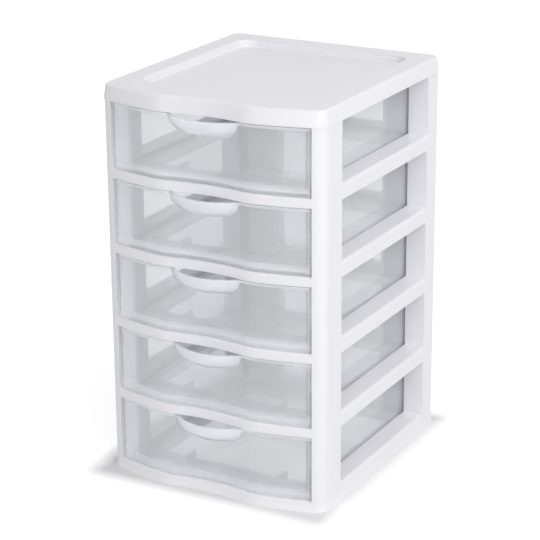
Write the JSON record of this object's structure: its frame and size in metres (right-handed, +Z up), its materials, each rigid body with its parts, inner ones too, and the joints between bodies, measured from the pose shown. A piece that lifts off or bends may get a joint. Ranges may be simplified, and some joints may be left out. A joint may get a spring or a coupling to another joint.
{
  "type": "plastic drawer tower",
  "caption": "Free-standing desktop drawer tower: white stacked plastic frames with side and back windows, clear pull-out drawers with crescent handles and a recessed lid.",
  "frame": {"origin": "centre of the footprint, handles and lid lip included, at floor level", "axes": "+Z up, -Y the way the drawers open, +X to the right of someone facing the drawers"},
  "size_m": [0.1856, 0.219, 0.305],
  "materials": {
    "white_plastic": "moulded, soft gloss",
    "clear_plastic": "clear, polished"
  },
  "bodies": {
    "carcass": {"lid_cover": "white_plastic", "frame_tier_1": "white_plastic", "frame_tier_2": "white_plastic", "frame_tier_3": "white_plastic", "frame_tier_4": "white_plastic", "frame_tier_5": "white_plastic"},
    "drawer_1_body": {"drawer_1": "clear_plastic"},
    "drawer_2_body": {"drawer_2": "clear_plastic"},
    "drawer_3_body": {"drawer_3": "clear_plastic"},
    "drawer_4_body": {"drawer_4": "clear_plastic"},
    "drawer_5_body": {"drawer_5": "clear_plastic"}
  },
  "joints": [
    {"name": "drawer_1_slide", "type": "slide", "parent": "carcass", "child": "drawer_1_body", "axis": [0, -1, 0], "range_m": [0, 0.14]},
    {"name": "drawer_2_slide", "type": "slide", "parent": "carcass", "child": "drawer_2_body", "axis": [0, -1, 0], "range_m": [0, 0.14]},
    {"name": "drawer_3_slide", "type": "slide", "parent": "carcass", "child": "drawer_3_body", "axis": [0, -1, 0], "range_m": [0, 0.14]},
    {"name": "drawer_4_slide", "type": "slide", "parent": "carcass", "child": "drawer_4_body", "axis": [0, -1, 0], "range_m": [0, 0.14]},
    {"name": "drawer_5_slide", "type": "slide", "parent": "carcass", "child": "drawer_5_body", "axis": [0, -1, 0], "range_m": [0, 0.14]}
  ]
}
